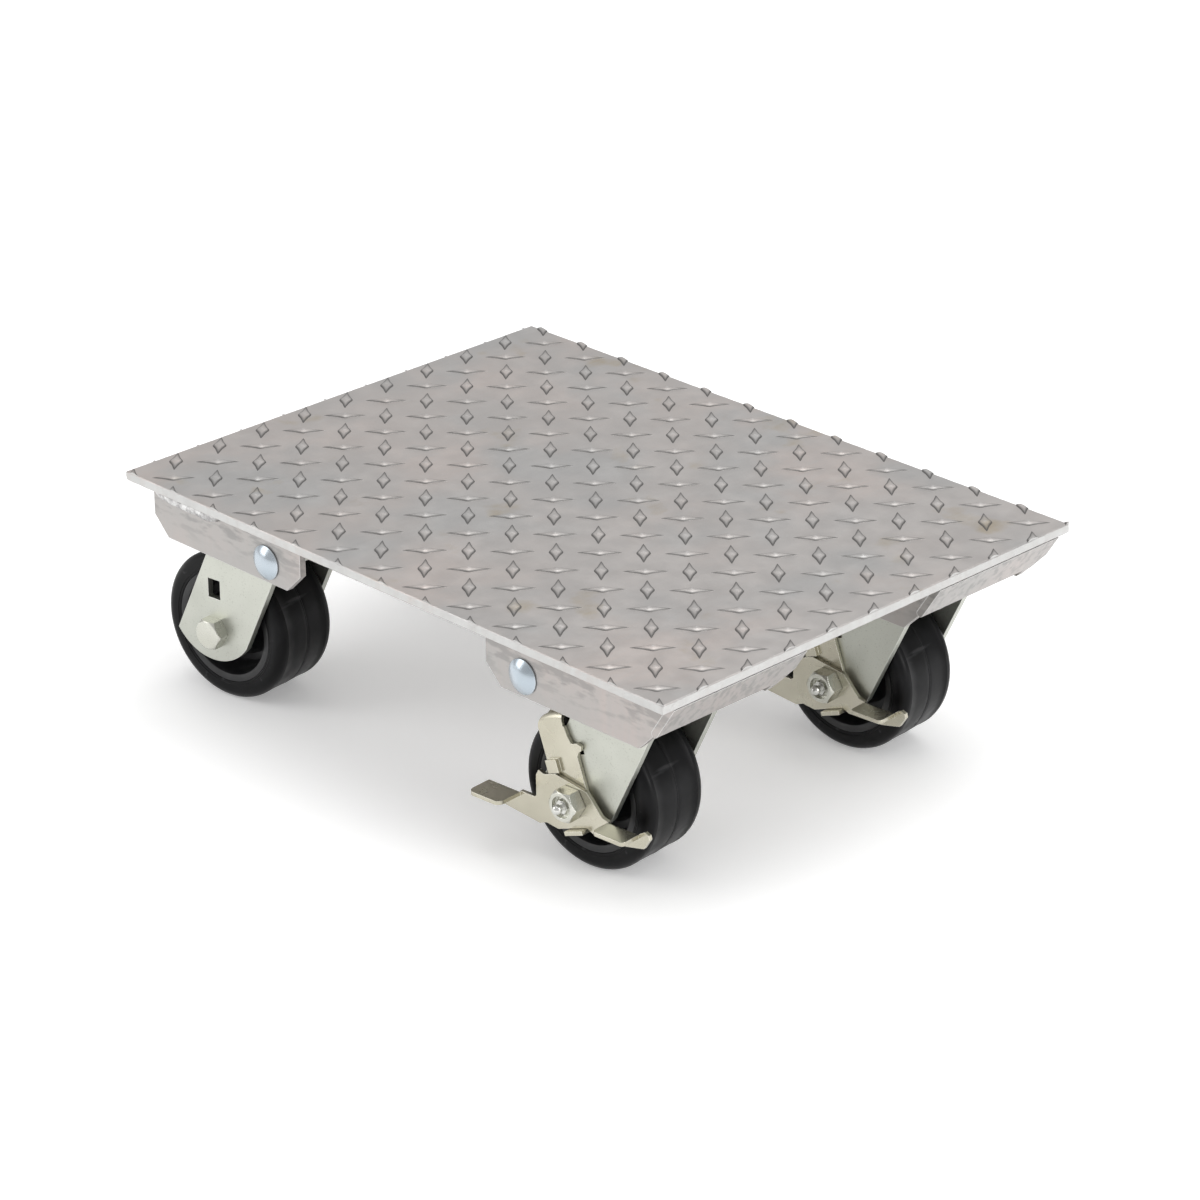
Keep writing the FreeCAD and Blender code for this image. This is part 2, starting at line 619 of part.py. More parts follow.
def slide_corner():
    """What the rounded top corner of the slide leaves off, through plate and shoe."""
    x, z = SLIDE_CORNER
    reach = 2 * SLIDE_CORNER_RADIUS
    square = box(x - reach, x, -SLIDE_FACE, 0, z, z + reach)
    return square.cut(moved(rod_y(SLIDE_CORNER_RADIUS, -SLIDE_FACE, 0), x, 0, z))


def brake_slide():
    """Plate that slides across the axle: shoe at the top, cam tab at the bottom."""
    foot = -TAB_REACH - BRAKE_SHEET
    outline = [
        (TAB_LEFT, foot), (TAB_RIGHT, foot), (TAB_RIGHT, -12), (11.6, -8), (11.6, 27),
        (13.1, 29), (16, 30.5), (17, 33.5), (14.2, 35.3), (9.4, 35.4), (7.8, 40.7), (7.2, 46.5),
        (-13.2, 46.5), (-14.5, 44.5), (-14.5, -8), (TAB_LEFT, -12)]
    plate = prism_y(outline, -SLIDE_FACE, -SLIDE_BACK)
    lower_tab = box(TAB_LEFT, TAB_RIGHT, -TAB_OUT, -SLIDE_BACK, foot, -TAB_REACH)
    stop_tab = box(*STOP_TAB[:2], -LEVER_FACE, -SLIDE_FACE, *STOP_TAB[2:])
    tongue = box(*TONGUE[:2], -SLIDE_BACK, -YOKE_INNER_HALF + 1, *TONGUE[2:])
    outer_radius = SHOE_RADIUS + BRAKE_SHEET
    section = bent_section(SLIDE_FACE, SLIDE_BACK, outer_radius, SHOE_INNER_END, SHOE_LEG, SHOE_BEND)
    section.rotate(ORIGIN, Y_AXIS, SHOE_SWEEP[0])
    shoe = section.revolve(ORIGIN, Y_AXIS, SHOE_SWEEP[1] - SHOE_SWEEP[0])
    body = plate.fuse([lower_tab, stop_tab, tongue, shoe])
    slot_radius = AXLE_RADIUS + SLOT_CLEARANCE
    slot = rod_y(slot_radius, -SLIDE_FACE, -SLIDE_BACK)
    slot = slot.fuse([moved(slot, 0, 0, SHOE_STROKE),
                      box(-slot_radius, slot_radius, -SLIDE_FACE, -SLIDE_BACK, 0, SHOE_STROKE)])
    return along_slide(body.cut([slot, slide_corner()]).removeSplitter())


def pad(x0, x1, fold, reach, corner):
    """Foot pad folded outwards along the top edge of an arm."""
    section = bent_section(LEVER_BACK, LEVER_FACE, fold, reach, 9, PAD_BEND)
    strip = moved(section.extrude(Vector(x1 - x0, 0, 0)), x0, 0)
    plan = rounded_box(x0, x1, -reach, 0, fold - 20, fold + 1, corner)
    return strip.common(plan)


def brake_lever():
    """Cam plate on the axle, with a foot pad on each arm."""
    drop = PAD_BEND + BRAKE_SHEET
    left_top, right_top = LEFT_PAD[2] - drop, RIGHT_PAD[2] - drop
    outline = [
        (-29.1, 8.2), (-27.0, 12.3), (-22.6, 10.8),
        slide_point(-15.5, CAM_REACH + 0.6), slide_point(-8.0, CAM_REACH + 0.6),
        (11.6, 9.8), (23.4, -2.9), (RIGHT_PAD[0], -4.2), (RIGHT_PAD[0] + 0.1, right_top),
        (RIGHT_PAD[1], right_top), (RIGHT_PAD[1] + 0.1, -3.8), (57.3, -1.1), (60.4, -2.4), (61.2, -5.2),
        (56.6, -12.5), (43.0, -15.6), (16.5, -16.2),
        slide_point(6.3, -CAM_REACH), slide_point(-18.1, -CAM_REACH),
        (-20.7, -21.2), (-26.1, -23.5), (-57.3, -20.0), (-65.5, -18.6), (-67.3, -16.0),
        (-67.3, left_top), (LEFT_PAD[1] - 0.1, left_top), (LEFT_PAD[1], -7.0), (-30.6, -6.9), (-28.9, -5.7)]
    plate = prism_y(outline, -LEVER_FACE, -LEVER_BACK)
    body = plate.fuse([pad(*LEFT_PAD), pad(*RIGHT_PAD)]).removeSplitter()
    return body.cut(rod_y(AXLE_RADIUS + RUNNING_CLEARANCE, -LEVER_FACE, -LEVER_BACK))


# ---------- assembly ----------

def write_deck():
    export("deck_plate", deck_plate())
    bolts, nuts, beads, packers, pins, pin_nuts = [], [], [], [], [], []
    for corner, (x, y, _, _) in CORNERS.items():
        plates = [mirrored(plate, x, y) for plate in side_plates(x > 0)]
        export(corner + "_pocket_side_plates", Part.makeCompound(plates))
        if x > 0:
            export(corner + "_pocket_end_flange", flange_at(y))
        else:
            export(corner + "_pocket_ledge", mirrored(ledge(), x, y))
        export(corner + "_top_plate", moved(top_plate(), x, y))
        bolts.append(mirrored(cross_bolt(), x, y))
        nuts.append(mirrored(cross_bolt_nut(), x, y))
        beads += [mirrored(bead, x, y) for bead in weld_beads()]
        packers.append(moved(packer(), x, y))
        pins.append(moved(kingpin(), x, y))
        pin_nuts.append(moved(kingpin_nut(), x, y))
    export("cross_bolts", Part.makeCompound(bolts))
    export("cross_bolt_nuts", Part.makeCompound(nuts))
    export("weld_beads", Part.makeCompound(beads))
    export("packer_plates", Part.makeCompound(packers))
    export("kingpins", Part.makeCompound(pins))
    export("kingpin_nuts", Part.makeCompound(pin_nuts))


def write_caster(corner):
    braked = CORNERS[corner][3]
    pieces = {
        "axle_bolt": axle_end(axle_bolt(braked), braked),
        "axle_nut": axle_end(axle_nut(braked), braked),
        "grease_fitting": axle_end(grease_fitting(braked), braked),
        "axle_sleeve": axle_sleeve(),
        "tyre": tyre(),
        "wheel_core": wheel_core(),
        "roller_bearing": roller_bearing(),
    }
    if braked:
        pieces["brake_slide"] = brake_slide()
        pieces["brake_lever"] = brake_lever()
    for name, shape in pieces.items():
        export(corner + "_" + name, on_caster(at_axle(shape), corner))
    export(corner + "_yoke", on_caster(yoke(braked), corner))
    export(corner + "_swivel_balls", on_caster(swivel_balls(), corner))


os.makedirs("parts", exist_ok=True)
write_deck()
for name in CORNERS:
    write_caster(name)
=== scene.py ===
import json
import math

import bmesh
import bpy
from mathutils import Matrix, Vector, noise


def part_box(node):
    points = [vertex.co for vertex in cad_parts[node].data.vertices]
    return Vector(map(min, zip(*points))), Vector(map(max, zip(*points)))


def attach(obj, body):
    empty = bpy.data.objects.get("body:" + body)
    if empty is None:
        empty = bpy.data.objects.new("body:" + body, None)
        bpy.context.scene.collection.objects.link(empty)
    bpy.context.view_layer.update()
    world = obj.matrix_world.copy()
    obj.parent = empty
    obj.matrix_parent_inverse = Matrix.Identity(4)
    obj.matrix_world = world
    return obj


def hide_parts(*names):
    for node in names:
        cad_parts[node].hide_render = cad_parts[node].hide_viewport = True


MM = 0.001
CORNERS = ("front_right", "front_left", "rear_right", "rear_left")

# Tread lugs: lengths in millimetres; the lattice's start is measured from the middle of the deck
LUG_PITCH_X, LUG_PITCH_Y = 39.4, 36.7
LUG_START_X, LUG_START_Y = -171.4, -129.8
LUG_COLUMNS, LUG_ROWS = range(-4, 14), range(-4, 12)
LUG_HALF_LENGTH = 14.9
LUG_HALF_WIDTH = 4.7
TAIL_HALF_WIDTH = 2.7
EYE_LENGTH = 4.6
LUG_HEIGHT = 1.25
LUG_SINK = 0.12
BOSS_RADIUS = 1.7
BOSS_HEIGHT = 0.4

# Tread lugs: shares of the height, powers of the tapers, and points along and across
TAIL_SHARE, EYE_SHARE = 0.8, 0.2
WIDTH_POWER, HEIGHT_POWER, SECTION_POWER = 1.8, 3.0, 2.0
LUG_STATIONS = 28
LUG_CROSS = (-1.0, -0.85, -0.6, -0.35, -0.12, 0.12, 0.35, 0.6, 0.85, 1.0)

# Sheared deck edge: lengths in metres, noise scales per metre; a tear is the most noise can cut in
EDGE_STEP = 0.003
EDGE_CHAMFER = 0.0007
FACE_TEAR, LOWER_TEAR, SIDE_TEAR = 0.0004, 0.0005, 0.0006
TEAR_SCALE_ALONG, TEAR_SCALE_UP = 190, 900
UPRIGHT_NORMAL_Z = 0.15  # deck faces steeper than this are shaded flat

# Wheel outline: lengths in millimetres; profiles give radius, and distance from the wheel's mid-plane
WHEEL_RADIUS = 50.8
SIDEWALL = 25.4
SHOULDER = 6.5
SHOULDER_DIP = 0.12
SHOULDER_DEGREES = range(81, -1, -9)
WHEEL_SEGMENTS = 112
WHEEL_SHARP_DEGREES = 38

# Weld beads: lengths in metres; shares are of the bead's size, the wander's scale is per metre
NARROW_WELD = 0.0030
WIDE_WELD = 0.0074
WELD_LENGTH = 0.062
WELD_END_GAP = 0.006
WELD_STEP = 0.0006
WELD_ROOT = 0.0002
WELD_ARC_STEPS = 8
RIPPLE_PITCH = 0.0026
RIPPLE_SHARE, WANDER_SHARE = 0.12, 0.13
WANDER_SCALE = 130
WANDER_SEED_STEP = 7.3
END_POWER, END_LEAST = 10, 0.06

# Carriage bolts: lengths in metres
BOLT_SHANK = 0.00476
BOLT_LENGTH = 0.117
BOLT_RIM = 0.0009
RIM_CUT_IN, RIM_CUT_UP = 0.0004, 0.0003
DOME_STEPS = 10
DOME_APEX = 0.00002
BOLT_SEGMENTS = 64
BOLT_SHARP_DEGREES = 40

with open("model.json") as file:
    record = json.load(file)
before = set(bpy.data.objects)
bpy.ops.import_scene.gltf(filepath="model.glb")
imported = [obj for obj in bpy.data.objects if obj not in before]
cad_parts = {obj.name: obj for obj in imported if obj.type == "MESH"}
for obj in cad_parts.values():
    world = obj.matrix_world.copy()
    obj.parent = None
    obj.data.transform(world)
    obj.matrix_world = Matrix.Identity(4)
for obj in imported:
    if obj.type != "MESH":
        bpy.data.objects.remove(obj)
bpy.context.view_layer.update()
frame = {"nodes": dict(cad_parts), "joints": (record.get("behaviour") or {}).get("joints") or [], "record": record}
joints = {joint["name"]: joint for joint in frame["joints"]}


# ---------- meshes ----------

def new_object(name, mesh):
    piece = bpy.data.objects.new(name, mesh)
    bpy.context.scene.collection.objects.link(piece)
    return piece


def finished(bm, name, sharp_degrees=None, is_smooth=lambda face: True):
    """Object made from the bmesh, with normals outwards and the shading set."""
    bmesh.ops.recalc_face_normals(bm, faces=bm.faces)
    for face in bm.faces:
        face.smooth = is_smooth(face)
    mesh = bpy.data.meshes.new(name)
    bm.to_mesh(mesh)
    bm.free()
    if sharp_degrees is not None:
        mesh.set_sharp_from_angle(angle=math.radians(sharp_degrees))
    return new_object(name, mesh)


def circle_turns(count):
    return [2 * math.pi * k / count for k in range(count)]


def add_grid(bm, rows, closed_rows=False, closed_columns=False):
    """Faces between rows of points; each row has the same number of points."""
    verts = [[bm.verts.new(point) for point in row] for row in rows]
    row_pairs = list(zip(verts, verts[1:])) + ([(verts[-1], verts[0])] if closed_rows else [])
    for low, high in row_pairs:
        count = len(low)
        for i in range(count if closed_columns else count - 1):
            j = (i + 1) % count
            bm.faces.new((low[i], low[j], high[j], high[i]))
    return verts


def lug_point(along, across):
    """Point on a lug's skin, in millimetres: along and across run from -1 to 1."""
    distance = along * LUG_HALF_LENGTH
    boss = math.exp(-(distance / BOSS_RADIUS) ** 2)
    eye = math.exp(-(distance / EYE_LENGTH) ** 2)
    width = TAIL_HALF_WIDTH * (1 - abs(along) ** WIDTH_POWER) + (LUG_HALF_WIDTH - TAIL_HALF_WIDTH) * eye
    taper = 1 - abs(along) ** HEIGHT_POWER
    height = LUG_HEIGHT * taper * (TAIL_SHARE + EYE_SHARE * eye) + BOSS_HEIGHT * boss
    rise = height * (1 - abs(across) ** SECTION_POWER)
    return distance, width * across, rise - LUG_SINK


def lug_mesh(centre_x, centre_y, angle, top):
    """One closed lug standing on the plate, as a bmesh in metres."""
    bm = bmesh.new()
    rows = []
    for i in range(LUG_STATIONS + 1):
        along = -1 + 2 * i / LUG_STATIONS
        row = []
        for across in LUG_CROSS:
            x, y, z = lug_point(along, across)
            row.append(Vector((centre_x + x * math.cos(angle) - y * math.sin(angle),
                               centre_y + x * math.sin(angle) + y * math.cos(angle),
                               top + z)) * MM)
        rows.append(row)
    verts = add_grid(bm, rows)
    underside = ([row[0] for row in verts] + verts[-1][1:]
                 + [row[-1] for row in reversed(verts[:-1])] + verts[0][-2:0:-1])
    bm.faces.new(underside)
    bmesh.ops.remove_doubles(bm, verts=bm.verts, dist=1e-7)
    return bm


def clip_to_deck(bm, low, high):
    """Cut a lug off flush with the sheared edges of the deck."""
    for point, normal in ((low, (-1, 0, 0)), (low, (0, -1, 0)), (high, (1, 0, 0)), (high, (0, 1, 0))):
        parts = list(bm.verts) + list(bm.edges) + list(bm.faces)
        if not parts:
            return
        bmesh.ops.bisect_plane(bm, geom=parts, plane_co=point, plane_no=normal, clear_outer=True)
        rim = [e for e in bm.edges if e.is_boundary]
        if rim:
            bmesh.ops.holes_fill(bm, edges=rim, sides=0)


def deck_slab(bm, low, high):
    """Plate with slightly ragged sheared edges."""
    outline = []
    corners = ((low.x, low.y), (high.x, low.y), (high.x, high.y), (low.x, high.y))
    for (x0, y0), (x1, y1) in zip(corners, corners[1:] + corners[:1]):
        count = int(max(abs(x1 - x0), abs(y1 - y0)) / EDGE_STEP)
        outline += [(x0 + (x1 - x0) * i / count, y0 + (y1 - y0) * i / count) for i in range(count)]
    middle = (low + high) / 2

    def ring(z, inset, tear):
        points = []
        for x, y in outline:
            at = Vector((x * TEAR_SCALE_ALONG, y * TEAR_SCALE_ALONG, z * TEAR_SCALE_UP))
            wobble = tear * abs(noise.noise(at))
            limit_x = high.x - middle.x - inset - wobble
            limit_y = high.y - middle.y - inset - wobble
            points.append(Vector((middle.x + max(-limit_x, min(limit_x, x - middle.x)),
                                  middle.y + max(-limit_y, min(limit_y, y - middle.y)), z)))
        return points

    rows = [ring(low.z, EDGE_CHAMFER, FACE_TEAR),
            ring(low.z + EDGE_CHAMFER, 0.0, LOWER_TEAR),
            ring((low.z + high.z) / 2, 0.0, SIDE_TEAR),
            ring(high.z - EDGE_CHAMFER, 0.0, SIDE_TEAR),
            ring(high.z, EDGE_CHAMFER, FACE_TEAR)]
    verts = add_grid(bm, rows, closed_columns=True)
    bm.faces.new(list(reversed(verts[0])))
    bm.faces.new(verts[-1])


def tread_deck():
    """Deck plate with its raised lugs, two crossed sets half a pitch apart."""
    low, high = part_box("deck_plate")
    top = high.z / MM
    middle_x, middle_y = (low.x + high.x) / 2 / MM, (low.y + high.y) / 2 / MM
    half_x, half_y = (high.x - low.x) / 2 / MM, (high.y - low.y) / 2 / MM
    bm = bmesh.new()
    deck_slab(bm, low, high)
    scratch = bpy.data.meshes.new("scratch")
    for half, angle in ((0.0, math.radians(45)), (0.5, math.radians(-45))):
        for i in LUG_COLUMNS:
            for j in LUG_ROWS:
                x = LUG_START_X + LUG_PITCH_X * (i + half)
                y = LUG_START_Y + LUG_PITCH_Y * (j + half)
                if abs(x) > half_x + LUG_HALF_LENGTH or abs(y) > half_y + LUG_HALF_LENGTH:
                    continue
                lug = lug_mesh(middle_x + x, middle_y + y, angle, top)
                clip_to_deck(lug, low, high)
                lug.to_mesh(scratch)
                lug.free()
                bm.from_mesh(scratch)
    bpy.data.meshes.remove(scratch)
    return finished(bm, "tread_deck", is_smooth=lambda face: (
        len(face.verts) < 5 and abs(face.normal.z) > UPRIGHT_NORMAL_Z))


def lathe(name, profile):
    """Closed profile of (radius, y) in millimetres, turned about Y."""
    bm = bmesh.new()
    rows = [[Vector((radius * math.cos(turn), y, radius * math.sin(turn))) * MM
             for turn in circle_turns(WHEEL_SEGMENTS)] for radius, y in profile]
    add_grid(bm, rows, closed_rows=True, closed_columns=True)
    return finished(bm, name, WHEEL_SHARP_DEGREES)


def tyre_profile():
    """Side lip and groove, rounded shoulder, slightly crowned tread with a mould line."""
    side = [(38.5, 23.8), (38.8, 24.5), (39.5, 24.8), (40.2, 24.8), (40.6, 25.2),
            (42.6, 25.35), (43.6, SIDEWALL)]
    centre_r, centre_y = WHEEL_RADIUS - SHOULDER, SIDEWALL - SHOULDER
    for degrees in SHOULDER_DEGREES:
        angle = math.radians(degrees)
        side.append((centre_r + SHOULDER * math.cos(angle) - (SHOULDER_DIP if degrees == 0 else 0),
                     centre_y + SHOULDER * math.sin(angle)))
    below_radius = ((0.06, 18.4), (0.06, 18.1), (0.28, 17.7), (0.26, 12.0), (0.16, 3.0), (0.16, 0.5))
    half = side + [(WHEEL_RADIUS - depth, y) for depth, y in below_radius]
    mould = [(WHEEL_RADIUS - 0.18, 0.45), (WHEEL_RADIUS, 0.2), (WHEEL_RADIUS, -0.2),
             (WHEEL_RADIUS - 0.18, -0.45)]
    return half + mould + [(radius, -y) for radius, y in reversed(half)]


def core_profile():
    """Hub, dished web and rim, with a stepped rim lip."""
    half = [(14.7, 27.8), (19.4, 27.8), (20.6, 27.2), (21.0, 26.2), (21.6, 18.0), (23.4, 8.0), (25.2, 6.2),
            (29.6, 6.0), (31.4, 8.0), (32.4, 14.0), (33.2, 22.6), (33.9, 23.9), (35.2, 24.4), (38.4, 24.4)]
    return half + [(radius, -y) for radius, y in reversed(half)]


def place_wheel(piece, corner):
    """Put a lathe's piece on its wheel's axle; it then rides on the wheel."""
    joint = joints[corner + "_wheel_roll"]
    axis = Vector(joint["axis"])
    turn = math.atan2(-axis.x, axis.y)
    piece.matrix_world = Matrix.Translation(Vector(joint["pos_m"])) @ Matrix.Rotation(turn, 4, "Z")
    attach(piece, corner + "_wheel")


def weld_bead(bm, x0, x1, face, out, top, size, seed):
    """Rippled fillet between an upright face and the plate above it."""
    count = int(abs(x1 - x0) / WELD_STEP)
    rows = []
    for i in range(count + 1):
        x = x0 + (x1 - x0) * i / count
        ripple = 0.5 + 0.5 * math.cos(2 * math.pi * x / RIPPLE_PITCH)
        wander = noise.noise(Vector((x * WANDER_SCALE, seed, 0)))
        leg = size * (1 + RIPPLE_SHARE * ripple + WANDER_SHARE * wander)
        leg *= math.sqrt(max(END_LEAST, 1 - (2 * i / count - 1) ** END_POWER))
        row = [Vector((x, face - out * WELD_ROOT, top + WELD_ROOT))]
        for k in range(WELD_ARC_STEPS + 1):
            angle = math.radians(90 * k / WELD_ARC_STEPS)
            row.append(Vector((x, face + out * leg * math.cos(angle), top - leg * math.sin(angle))))
        rows.append(row)
    verts = add_grid(bm, rows, closed_columns=True)
    bm.faces.new(verts[0])
    bm.faces.new(list(reversed(verts[-1])))


def weld_beads():
    """A bead on each side of each pocket; the rear pockets' outboard ones are wide."""
    bm = bmesh.new()
    low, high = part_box("deck_plate")
    middle_x = (low.x + high.x) / 2
    for number, corner in enumerate(CORNERS):
        plates_low, plates_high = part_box(corner + "_pocket_side_plates")
        in_front = plates_low.x > middle_x
        end = plates_high.x - WELD_END_GAP if in_front else plates_low.x + WELD_END_GAP
        start = end - WELD_LENGTH if in_front else end + WELD_LENGTH
        for face, out in ((plates_low.y, -1), (plates_high.y, 1)):
            outboard = face * out > 0
            size = WIDE_WELD if outboard and not in_front else NARROW_WELD
            weld_bead(bm, start, end, face, out, low.z, size, number * WANDER_SEED_STEP + out)
    return finished(bm, "rippled_welds")


def bolt_profile(face, out, radius, rise):
    """(radius, y) in metres from the shank's inner end to the top of the domed head."""
    curve = (radius ** 2 + rise ** 2) / (2 * rise)
    sweep = math.asin(radius / curve)
    profile = [(BOLT_SHANK, face - out * BOLT_LENGTH), (BOLT_SHANK, face),
               (radius - RIM_CUT_IN, face), (radius, face + out * RIM_CUT_UP)]
    for k in range(DOME_STEPS + 1):
        angle = sweep * (1 - k / DOME_STEPS)
        profile.append((max(curve * math.sin(angle), DOME_APEX),
                        face + out * (BOLT_RIM + rise - curve + curve * math.cos(angle))))
    return profile


def carriage_bolts():
    """Smooth domed heads with a thin rim, on round shanks."""
    bm = bmesh.new()
    low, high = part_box("cross_bolts")
    radius = (high.z - low.z) / 2
    centre_z = (high.z + low.z) / 2
    heads = ((-1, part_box("front_right_pocket_side_plates")[0].y, low.y),
             (1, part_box("front_left_pocket_side_plates")[1].y, high.y))
    for x in (low.x + radius, high.x - radius):
        for out, face, tip in heads:
            rows = [[Vector((x + r * math.cos(turn), y, centre_z + r * math.sin(turn)))
                     for turn in circle_turns(BOLT_SEGMENTS)]
                    for r, y in bolt_profile(face, out, radius, abs(tip - face) - BOLT_RIM)]
            verts = add_grid(bm, rows, closed_columns=True)
            bm.faces.new(verts[0])
            bm.faces.new(verts[-1])
    return finished(bm, "carriage_bolts", BOLT_SHARP_DEGREES)


# ---------- materials ----------

class Nodes:
    """Short way to build a material's node tree."""

    def __init__(self, name):
        self.material = bpy.data.materials.new(name)
        self.material.use_nodes = True
        self.tree = self.material.node_tree
        self.shader = self.tree.nodes["Principled BSDF"]
        self.place = self.add("ShaderNodeTexCoord").outputs["Object"]

    def add(self, kind, **values):
        node = self.tree.nodes.new(kind)
        for key, value in values.items():
            setattr(node, key, value)
        return node

    def link(self, source, target):
        self.tree.links.new(source, target)

    def noise(self, scale, detail, stretch=(1, 1, 1), shift=0.0):
        mapping = self.add("ShaderNodeMapping")
        mapping.inputs["Scale"].default_value = stretch
        mapping.inputs["Location"].default_value = (shift, shift * 0.7, shift * 0.3)
        self.link(self.place, mapping.inputs["Vector"])
        node = self.add("ShaderNodeTexNoise")
        node.inputs["Scale"].default_value = scale
        node.inputs["Detail"].default_value = detail
        self.link(mapping.outputs["Vector"], node.inputs["Vector"])
        return node.outputs["Fac"]

    def spread(self, value, low, high, to_low=0.0, to_high=1.0):
        """The value carried from one range to another and kept inside it."""
        node = self.add("ShaderNodeMapRange")
        for key, number in (("From Min", low), ("From Max", high), ("To Min", to_low), ("To Max", to_high)):
            node.inputs[key].default_value = number
        self.link(value, node.inputs["Value"])
        return node.outputs["Result"]

    def above(self, level, none, full):
        """0 at a height of none over the level and 1 at full, both in metres."""
        position = self.add("ShaderNodeSeparateXYZ")
        self.link(self.place, position.inputs[0])
        return self.spread(position.outputs["Z"], level + none, level + full)

    def times(self, first, second):
        node = self.add("ShaderNodeMath", operation="MULTIPLY")
        for socket, value in zip(node.inputs, (first, second)):
            if isinstance(value, float):
                socket.default_value = value
            else:
                self.link(value, socket)
        return node.outputs[0]

    def blend(self, factor, first, second):
        """First colour where the factor is 0, second where it is 1."""
        node = self.add("ShaderNodeMix", data_type="RGBA")
        self.link(factor, node.inputs[0])
        for socket, value in ((node.inputs[6], first), (node.inputs[7], second)):
            if isinstance(value, tuple):
                socket.default_value = (*value, 1)
            else:
                self.link(value, socket)
        return node.outputs[2]

    def edges(self, radius):
        """Rounded normal for sharp sheet edges, and how far it bends from the flat one, which masks the painted
        edge highlights.
        """
        bevel = self.add("ShaderNodeBevel", samples=12)
        bevel.inputs["Radius"].default_value = radius
        true = self.add("ShaderNodeNewGeometry").outputs["True Normal"]
        dot = self.add("ShaderNodeVectorMath", operation="DOT_PRODUCT")
        self.link(bevel.outputs["Normal"], dot.inputs[0])
        self.link(true, dot.inputs[1])
        return bevel.outputs["Normal"], self.spread(dot.outputs["Value"], 0.995, 0.85)

    def bump(self, height, strength, distance, normal=None):
        node = self.add("ShaderNodeBump")
        node.inputs["Strength"].default_value = strength
        node.inputs["Distance"].default_value = distance
        self.link(height, node.inputs["Height"])
        if normal is not None:
            self.link(normal, node.inputs["Normal"])
        return node.outputs["Normal"]

    def finish(self, colour, roughness, normal, metallic):
        self.link(colour, self.shader.inputs["Base Color"])
        self.link(roughness, self.shader.inputs["Roughness"])
        self.link(normal, self.shader.inputs["Normal"])
        self.shader.inputs["Metallic"].default_value = metallic
        return self.material


def deck_material():
    """Mill-finish tread plate: stains, rolling lines, painted shade at the lug feet, painted highlights on the lug
    crests, bright torn edges.
    """
    n = Nodes("tread_aluminium")
    colour = n.blend(n.spread(n.noise(9, 3), 0.42, 0.62), (0.485, 0.46, 0.445), (0.53, 0.48, 0.455))
    colour = n.blend(n.spread(n.noise(14, 4, shift=3), 0.5, 0.66), colour, (0.455, 0.447, 0.44))
    colour = n.blend(n.spread(n.noise(24, 5, shift=9), 0.62, 0.74, 0, 0.65), colour, (0.40, 0.33, 0.22))
    rolling_lines = n.spread(n.noise(420, 3, stretch=(1, 0.12, 1)), 0.35, 0.7, 0, 0.3)
    colour = n.blend(rolling_lines, colour, (0.50, 0.49, 0.48))
    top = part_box("deck_plate")[1].z
    # Painted highlight: the tops of the lug crests and bosses are lightened.
    painted_crest_highlight = n.above(top, 0.0013, 0.0017)
    colour = n.blend(painted_crest_highlight, colour, (0.60, 0.59, 0.58))
    # Painted shade: the lug flanks close to the plate are darkened.
    painted_lug_foot_shade = n.times(n.above(top, 0.00002, 0.00008), n.above(top, 0.0009, 0.0004))
    colour = n.blend(n.times(painted_lug_foot_shade, 0.88), colour, (0.10, 0.098, 0.095))
    direction = n.add("ShaderNodeSeparateXYZ")
    n.link(n.add("ShaderNodeNewGeometry").outputs["True Normal"], direction.inputs[0])
    level = n.add("ShaderNodeMath", operation="ABSOLUTE")
    n.link(direction.outputs["Z"], level.inputs[0])
    cut_edge = n.spread(level.outputs[0], 0.35, 0.1)
    torn = n.spread(n.noise(160, 5, stretch=(1, 1, 0.3), shift=7), 0.3, 0.6, 0.55, 1.0)
    colour = n.blend(n.times(cut_edge, torn), colour, (0.57, 0.57, 0.56))
    roughness = n.spread(n.noise(60, 5, shift=5), 0.3, 0.7, 0.34, 0.54)
    normal = n.bump(n.noise(260, 6), 0.22, 0.0004)
    normal = n.bump(n.noise(38, 3, shift=2), 0.18, 0.0009, normal)
    return n.finish(colour, roughness, normal, 0.78)


def flat_bar_material():
    """Brushed bar with weld soot under the deck and painted highlights on its sharp edges."""
    n = Nodes("flat_bar_aluminium")
    rounded, painted_edge_highlight = n.edges(0.0008)
    colour = n.blend(n.spread(n.noise(16, 4), 0.4, 0.65), (0.40, 0.385, 0.372), (0.455, 0.41, 0.39))
    brushed = n.noise(240, 4, stretch=(1, 1, 0.07))
    colour = n.blend(n.spread(brushed, 0.35, 0.7, 0, 0.45), colour, (0.47, 0.46, 0.45))
    near_weld = n.above(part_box("deck_plate")[0].z, -0.032, -0.013)
    soot = n.times(n.spread(n.noise(230, 12, stretch=(0.3, 1, 1), shift=4), 0.47, 0.60), near_weld)
    colour = n.blend(n.times(soot, 0.5), colour, (0.22, 0.22, 0.215))
    # Painted highlight: sharp edges are lightened where the rounded normal bends away from the flat one.
    colour = n.blend(painted_edge_highlight, colour, (0.72, 0.72, 0.71))
    roughness = n.spread(brushed, 0.3, 0.7, 0.32, 0.5)
    return n.finish(colour, roughness, n.bump(brushed, 0.15, 0.0003, rounded), 0.8)


def weld_material():
    n = Nodes("weld_metal")
    colour = n.blend(n.spread(n.noise(180, 4), 0.4, 0.62), (0.42, 0.41, 0.41), (0.80, 0.80, 0.79))
    return n.finish(colour, n.spread(n.noise(300, 4, shift=1), 0.3, 0.7, 0.3, 0.5),
                    n.bump(n.noise(500, 4), 0.25, 0.0003), 0.85)


